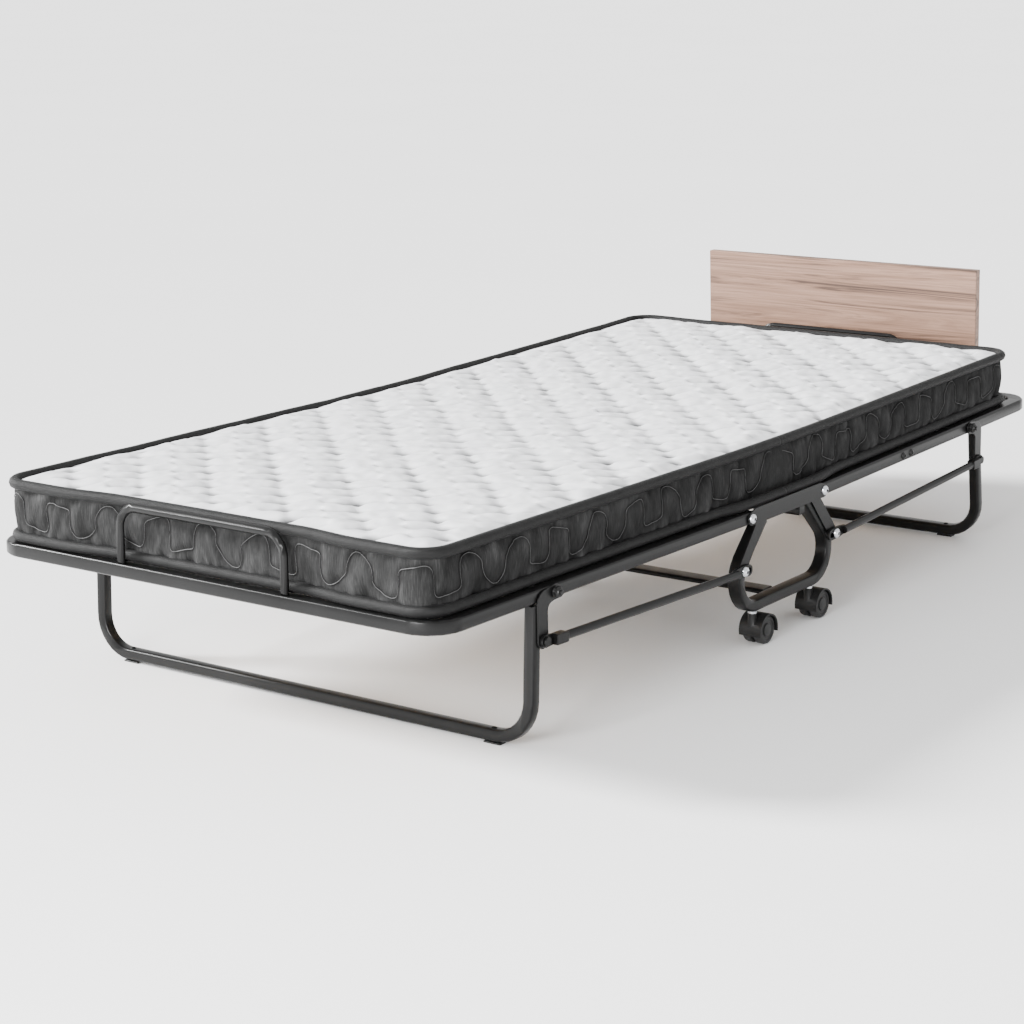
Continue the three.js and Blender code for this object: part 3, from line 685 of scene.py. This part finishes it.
def mattress_shell(half):
    """Top, border, base and inner face of one half, as one closed mesh."""
    rows = half.rows()
    vertices, pit_shade_values, columns = top_vertices(half, rows)
    uv = [(v.x, v.y) for v in vertices]
    row_count = len(rows)
    stride = columns + 1
    faces = [(r * stride + c, (r + 1) * stride + c, (r + 1) * stride + c + 1, r * stride + c + 1)
             for r in range(row_count - 1) for c in range(columns)]
    top_faces = len(faces)
    ring = [r * stride for r in range(row_count)]
    ring += [(row_count - 1) * stride + c for c in range(1, columns)]
    ring += [r * stride + columns for r in reversed(range(row_count))]
    outline = half.outline()
    seed = 11.0 + half.out
    half_height = (half.top_middle - half.bottom_middle) / 2 - 2 * PIPING_RADIUS
    stitches = vermicelli(outline[-1][3], seed)
    tree = groove_tree(stitches, half_height)
    previous = ring
    pucker_shading_values = [0.5] * len(vertices)
    for j in range(1, BORDER_ROWS + 1):
        height = 1 - 2 * j / BORDER_ROWS
        current = []
        for along, y, outward, distance in outline:
            middle = (half.top(along) + half.bottom(along)) / 2
            near = tree.find((distance, height * half_height, 0))[2]
            groove = STITCH_GROOVE * math.exp(-(near / STITCH_GROOVE_WIDTH) ** 2)
            groove *= smoothstep(along / SEAM_FADE)
            offset = border_offset(distance, height, seed, along) - groove
            if j == BORDER_ROWS:
                offset = -BORDER_TUCK
            point = half.world(along + outward.x * offset, y + outward.y * offset,
                               middle + height * (half_height + PIPING_RADIUS))
            if along == 0:
                point.x = CENTRE_X
            current.append(len(vertices))
            vertices.append(point)
            uv.append((distance, height * half_height))
            # painted light and shade: lighter on pucker ridges, darker in their valleys and in the stitch groove
            painted_pucker_shading = border_gather(distance, height, seed, along) - 0.45 * groove / STITCH_GROOVE
            pucker_shading_values.append(0.5 + 0.7 * painted_pucker_shading)
        faces += [(previous[k], current[k], current[k + 1], previous[k + 1])
                  for k in range(len(ring) - 1)]
        previous = current
    border_faces = len(faces) - top_faces
    faces += base_faces(previous, row_count)
    base_count = len(faces) - top_faces - border_faces
    shell = new_object(f"mattress_quilted_{half.end}", vertices, faces,
                       "white_ticking", "grey_border", "base_cloth")
    groups = [0] * top_faces + [1] * border_faces + [2] * base_count
    shell.data.polygons.foreach_set("material_index", groups)
    set_uv(shell, uv)
    # the painted pit and crease shade is kept as a point attribute for the white ticking's colour
    pit_shade_layer = shell.data.attributes.new("tack_pit_and_shade", "FLOAT", "POINT")
    pit_shade_layer.data.foreach_set("value", pit_shade_values + [0.0] * (len(vertices) - len(pit_shade_values)))
    shell.data.attributes.new("painted_pucker_shading", "FLOAT", "POINT").data.foreach_set("value", pucker_shading_values)
    close_mesh(shell)
    return shell, stitches, outline, half_height, seed


def base_faces(ring, row_count):
    """Strips across the underside between the two long sides, and one face at the end."""
    last = len(ring) - 1
    faces = [(ring[k], ring[last - k], ring[last - k - 1], ring[k + 1]) for k in range(row_count - 2)]
    faces.append(tuple(ring[row_count - 2:last - row_count + 3]))
    return faces


def close_mesh(obj):
    """Closes any open end with one crisp-edged face, and turns every face outward."""
    mesh = bmesh.new()
    mesh.from_mesh(obj.data)
    open_edges = [edge for edge in mesh.edges if edge.is_boundary]
    closing = bmesh.ops.holes_fill(mesh, edges=open_edges, sides=0)
    for face in closing["faces"]:
        face.material_index = len(obj.data.materials) - 1
        for edge in face.edges:
            edge.smooth = False
    bmesh.ops.recalc_face_normals(mesh, faces=mesh.faces)
    top = max(mesh.faces, key=lambda face: face.calc_center_median().z)
    if top.normal.z < 0:
        bmesh.ops.reverse_faces(mesh, faces=mesh.faces)
    mesh.to_mesh(obj.data)
    mesh.free()


def swept_tube(name, path, radius, sides, material):
    """A round tube; path is (world point, outward direction) pairs."""
    vertices, uv, faces = [], [], []
    distance = 0.0
    for k, (point, outward) in enumerate(path):
        if k:
            distance += (point - path[k - 1][0]).length
        for side in range(sides):
            angle = 2 * math.pi * side / sides
            offset = outward * (radius * math.cos(angle)) + Vector((0, 0, radius * math.sin(angle)))
            vertices.append(point + offset)
            uv.append((distance, radius * angle))
    for k in range(len(path) - 1):
        for side in range(sides):
            a = k * sides + side
            b = k * sides + (side + 1) % sides
            faces.append((a, b, b + sides, a + sides))
    faces.append(tuple(range(sides)))
    faces.append(tuple(reversed(range(len(vertices) - sides, len(vertices)))))
    tube = new_object(name, vertices, faces, material)
    set_uv(tube, uv)
    close_mesh(tube)
    return tube


def piping(half, level):
    """The rolled tape along the upper or lower edge of the mattress."""
    path = []
    seed = 3.0 + half.out + (5.0 if level == "upper" else 0.0)
    for along, y, outward, distance in half.outline():
        wave = noise.noise(Vector((distance * 6, seed, 0)))
        wave += 0.4 * noise.noise(Vector((distance * 21, seed, 2)))
        if level == "upper":
            z = half.top(along) - PIPING_RADIUS
        else:
            z = half.bottom(along) + PIPING_RADIUS
        shift = PIPING_WAVER * wave * smoothstep(along / SEAM_FADE)
        if level == "lower":
            shift += RAIL_GAP_BULGE * (1 - smoothstep((along - GAP_BULGE_FULL) / GAP_BULGE_FADE))
        point = half.world(along + outward.x * shift, y + outward.y * shift,
                           z + 0.5 * PIPING_WAVER * wave)
        path.append((point, Vector((half.out * outward.x, outward.y, 0))))
    return swept_tube(f"mattress_piping_{level}_{half.end}", path, PIPING_RADIUS,
                      PIPING_SIDES, "dark_piping")


def border_stitching(half, stitches, outline, half_height, seed):
    """The thread that lies in the border's meandering groove."""
    path = []
    k = 0
    for distance, height in stitches:
        while abs(outline[k][3] - distance) > 0.02 and outline[k][3] < distance:
            k += 1
        nearby = range(max(0, k - 12), min(len(outline), k + 12))
        best = min(nearby, key=lambda i: abs(outline[i][3] - distance))
        along, y, outward, at = outline[best]
        tangent = Vector((-outward.y, outward.x))
        step = distance - at
        along += tangent.x * step
        y += tangent.y * step
        offset = border_offset(distance, height, seed, along) - THREAD_SINK
        middle = (half.top(along) + half.bottom(along)) / 2
        point = half.world(max(0.0, along + outward.x * offset), y + outward.y * offset,
                           middle + height * (half_height + PIPING_RADIUS))
        path.append((point, Vector((half.out * outward.x, outward.y, 0))))
    return swept_tube(f"mattress_stitching_{half.end}", path, THREAD_RADIUS,
                      4, "border_thread")


def bend_with_deck(piece):
    """Bakes the piece's transform into its mesh."""
    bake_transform(piece)


def make_mattress():
    for end in ENDS:
        half = MattressHalf(end)
        shell, stitches, outline, half_height, seed = mattress_shell(half)
        pieces = [shell, piping(half, "upper"), piping(half, "lower"),
                  border_stitching(half, stitches, outline, half_height, seed)]
        for piece in pieces:
            bend_with_deck(piece)
        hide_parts(f"mattress_{end}")
        if end == "foot":
            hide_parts("mattress_fold")


# ---- steel frame details ----
def finish_cad():
    """Every CAD node that shows gets its slot's material and softened edges."""
    slots = {entry["node"]: entry["material_slot"] for entry in frame["record"]["subparts"]}
    for name, node in NODES.items():
        if name.startswith("mattress"):
            continue
        node.data.materials.clear()
        node.data.materials.append(MATERIALS[slots[name]])
        node.data.polygons.foreach_set("use_smooth", [True] * len(node.data.polygons))
        soften(node)


def hex_ring(radius, count):
    """Points round a hexagon, count of them, where a hexagon corner lies at radius."""
    points = []
    for k in range(count):
        angle = 2 * math.pi * k / count
        within = (angle % (math.pi / 3)) - math.pi / 6
        reach = radius * math.cos(math.pi / 6) / math.cos(within)
        points.append((reach * math.cos(angle), reach * math.sin(angle)))
    return points


def ring_solid(name, rings, material_faces, at, axis):
    """Joins equal rings of (x, y, along) points; material_faces lists one material per band.

    The caps take the first and the last band's material.
    """
    turn = Vector((0, 0, 1)).rotation_difference(Vector(axis)).to_matrix()
    count = len(rings[0])
    vertices = [turn @ Vector(point) + Vector(at) for ring in rings for point in ring]
    faces = []
    for r in range(len(rings) - 1):
        for k in range(count):
            a = r * count + k
            b = r * count + (k + 1) % count
            faces.append((a, b, b + count, a + count))
    names = list(dict.fromkeys(material_faces))
    index = [names.index(material_faces[r]) for r in range(len(rings) - 1) for _ in range(count)]
    faces.append(tuple(reversed(range(count))))
    index.append(names.index(material_faces[0]))
    last = (len(rings) - 1) * count
    faces.append(tuple(range(last, last + count)))
    index.append(names.index(material_faces[-1]))
    obj = new_object(name, vertices, faces, *names)
    obj.data.polygons.foreach_set("material_index", index)
    return obj


def unit_circle():
    angles = [2 * math.pi * k / RING_POINTS for k in range(RING_POINTS)]
    return [(math.cos(angle), math.sin(angle)) for angle in angles]


def dome_bolt(name, node, sign):
    """A domed head with a hexagon socket, in place of a plain CAD bolt."""
    low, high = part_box(node)
    radius = (high.x - low.x) / 2
    seat = high.y - BOLT_HEAD_HEIGHT if sign > 0 else low.y + BOLT_HEAD_HEIGHT
    at = Vector(((low.x + high.x) / 2, seat, (low.z + high.z) / 2))
    circle = unit_circle()
    shank = 0.30 * radius
    rings = [[(shank * x, shank * y, -abs(high.y - low.y) + 0.006) for x, y in circle],
             [(shank * x, shank * y, 0.0) for x, y in circle],
             [(radius * x, radius * y, 0.0) for x, y in circle]]
    for step in range(1, 6):
        angle = math.pi / 2 * step / DOME_BANDS
        ring_radius = radius * math.cos(angle)
        rise = 0.0010 + BOLT_HEAD_HEIGHT * math.sin(angle)
        rings.append([(ring_radius * x, ring_radius * y, rise) for x, y in circle])
    mouth = BOLT_HEAD_HEIGHT * math.sin(math.pi / 2 * 5 / DOME_BANDS) + 0.0012
    rings.append([(x, y, mouth) for x, y in hex_ring(SOCKET_MOUTH, RING_POINTS)])
    rings.append([(x, y, mouth - SOCKET_DEPTH) for x, y in hex_ring(SOCKET_FLOOR, RING_POINTS)])
    # the socket's walls and floor take the painted shade
    bands = ["zinc"] * (len(rings) - 2) + ["socket_black"]
    bolt = ring_solid(name, rings, bands, at, (0, sign, 0))
    bolt.data.polygons.foreach_set("use_smooth", [True] * len(bolt.data.polygons))
    sharpen(bolt, 35)
    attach(bolt, "centre_frame")
    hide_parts(node)


def sharpen(obj, angle):
    obj.data.set_sharp_from_angle(angle=math.radians(angle))


def make_bolts():
    for side, sign in SIDES.items():
        for end in ENDS:
            dome_bolt(f"hinge_bolt_head_{end}_{side}", f"hinge_bolt_{end}_{side}", sign)
            dome_bolt(f"rod_pin_head_{end}_{side}", f"rod_pin_{end}_{side}", sign)


def hex_nut(name, at, sign, corner_radius, height, body):
    """A locking nut with a rounded collar and the bolt's end standing out of it."""
    circle = unit_circle()
    chamfer = 0.93 * corner_radius
    collar = 0.72 * corner_radius
    thread = 0.42 * corner_radius
    rings = [[(chamfer * x, chamfer * y, 0.0) for x, y in circle],
             [(x, y, 0.0006) for x, y in hex_ring(corner_radius, RING_POINTS)],
             [(x, y, 0.62 * height) for x, y in hex_ring(corner_radius, RING_POINTS)],
             [(collar * x, collar * y, 0.74 * height) for x, y in circle],
             [(0.9 * collar * x, 0.9 * collar * y, height) for x, y in circle],
             [(thread * x, thread * y, height) for x, y in circle],
             [(thread * x, thread * y, 1.25 * height) for x, y in circle],
             [(0.8 * thread * x, 0.8 * thread * y, 1.35 * height) for x, y in circle]]
    nut = ring_solid(name, rings, ["black_plastic"] * (len(rings) - 1), at, (0, sign, 0))
    sharpen(nut, 35)
    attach(nut, body)


def make_leg_nuts():
    for end in ENDS:
        for side, sign in SIDES.items():
            pivot = JOINT_AT[f"{end}_leg_fold"]
            hex_nut(f"leg_pivot_nut_{end}_{side}", (pivot.x, sign * LEG_NUT_Y, pivot.z), sign,
                    LEG_NUT_RADIUS, LEG_NUT_HEIGHT, f"{end}_leg")


def make_rod_collars():
    """A pressed clevis sleeve where each push rod's tube is flattened, near the leg."""
    for end in ENDS:
        for side in SIDES:
            pin = JOINT_AT[f"{end}_rod_{side}_pivot"]
            pin_low, pin_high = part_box(f"rod_pin_{end}_{side}")
            centre_pin = (pin_low + pin_high) / 2
            run = Vector((centre_pin.x - pin.x, 0, centre_pin.z - pin.z)).normalized()
            up = Vector((-run.z, 0, run.x))
            if up.z < 0:
                up = -up
            low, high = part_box(f"{end}_rod_{side}")
            middle_y = (low.y + high.y) / 2
            out_y = run.cross(up).y
            start = Vector((pin.x, middle_y - out_y * SLEEVE_WIDTH / 2, pin.z)) + run * 0.016
            outline = [(0, -0.0085), (0.026, -0.0085), (0.030, -0.0075),
                       (0.030, 0.0075), (0.026, 0.0085), (0, 0.0085)]
            sleeve = prism(f"rod_collar_{end}_{side}", outline, SLEEVE_WIDTH, "powder_coat",
                           start, run, up, 0.0012)
            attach(sleeve, f"{end}_rod_{side}_body")


def make_rail_screws():
    """Two small dark button screws on each side of the head deck's rail."""
    hinge = JOINT_AT["head_fold"]
    pivot = JOINT_AT["head_leg_fold"]
    slope = (pivot.z - hinge.z) / (pivot.x - hinge.x)
    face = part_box("head_rail")[1].y
    for side, sign in SIDES.items():
        screws = []
        for along in RAIL_SCREWS_ALONG:
            at = (hinge.x + along, sign * (face - 0.0006), hinge.z + slope * along)
            profile = [(0.0068, 0), (0.0066, 0.0018), (0.0052, 0.0034), (0.0028, 0.0040),
                       (0.0025, 0.0026)]
            screws.append(spun(f"screw_{side}", profile, "black_plastic", at, (0, sign, 0), 24))
        piece = joined(f"rail_screws_{side}", screws)
        sharpen(piece, 40)
        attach(piece, "head_deck")


def make_glide_rivets():
    """A domed rivet over each glide, on top of the leg's floor bar."""
    for end in ENDS:
        bar_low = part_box(f"{end}_leg_tube")[0]
        for side in SIDES:
            low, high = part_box(f"{end}_glide_{side}")
            middle = (low + high) / 2
            top = bar_low.z + FLOOR_BAR_HEIGHT
            profile = [(0.0050, -0.001), (0.0050, 0.0004), (0.0042, 0.0017), (0.0026, 0.0025),
                       (0.0008, 0.0028)]
            rivet = spun(f"glide_rivet_{end}_{side}", profile, "powder_coat",
                         (middle.x, middle.y, top), (0, 0, 1), 24)
            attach(rivet, f"{end}_leg")


def make_slat_holders():
    """A moulded cradle under both ends of every slat."""
    for end in ENDS:
        cradles = []
        for number in range(1, SLATS_PER_DECK + 1):
            low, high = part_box(f"{end}_slat_{number}")
            for sign in SIDES.values():
                at = ((low.x + high.x) / 2, sign * (high.y - CRADLE_LENGTH), low.z)
                outline = [(-0.031, -0.0030), (0.031, -0.0030), (0.031, 0.0062), (0.0272, 0.0062),
                           (0.0262, 0.0006), (-0.0262, 0.0006), (-0.0272, 0.0062), (-0.031, 0.0062)]
                cradles.append(prism("cradle", outline, CRADLE_LENGTH, "black_plastic", at,
                                     (-sign, 0, 0), (0, 0, 1), 0.0008))
        bpy.context.view_layer.update()
        piece = joined(f"slat_holders_{end}", cradles)
        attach(piece, f"{end}_deck")


def make_wheels():
    """Twin castor wheels with a rounded tread, a dished face and a raised hub cap."""
    for end in ENDS:
        for side in SIDES:
            node = f"castor_wheels_{end}_{side}"
            low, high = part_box(node)
            middle = (low + high) / 2
            radius = (high.z - low.z) / 2
            face = (high.y - low.y) / 2
            half = [(0.004, 0.003), (radius - 0.002, 0.003), (radius, 0.005), (radius, face - 0.006),
                    (radius - 0.0012, face - 0.0025), (radius - 0.0035, face - 0.0010),
                    (radius - 0.0055, face - 0.0012), (radius - 0.0062, face - 0.0030),
                    (radius - 0.0130, face - 0.0034), (radius - 0.0138, face - 0.0012),
                    (0.0060, face - 0.0002), (0.0010, face)]
            profile = [(r, -y) for r, y in reversed(half)] + half
            wheel = spun(f"castor_wheel_pair_{end}_{side}", profile, "wheel_grey", middle,
                         (0, 1, 0), 56)
            sharpen(wheel, 40)
            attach(wheel, f"castor_wheels_{end}_{side}_body")
            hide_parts(node)


def make_stem_collars():
    for end in ENDS:
        for side in SIDES:
            at = JOINT_AT[f"castor_{end}_{side}_swivel"]
            loop_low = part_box(f"wheel_loop_{side}")[0].z
            profile = [(0.0074, -0.0058), (0.0080, -0.0052), (0.0080, -0.0016), (0.0074, -0.0010),
                       (0.0056, -0.0006)]
            collar = spun(f"stem_collar_{end}_{side}", profile, "zinc", (at.x, at.y, loop_low),
                          (0, 0, 1), 32)
            sharpen(collar, 40)
            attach(collar, f"castor_{end}_{side}")


make_camera()
make_studio()
finish_cad()
make_mattress()
make_bolts()
make_leg_nuts()
make_rod_collars()
make_rail_screws()
make_glide_rivets()
make_slat_holders()
make_wheels()
make_stem_collars()
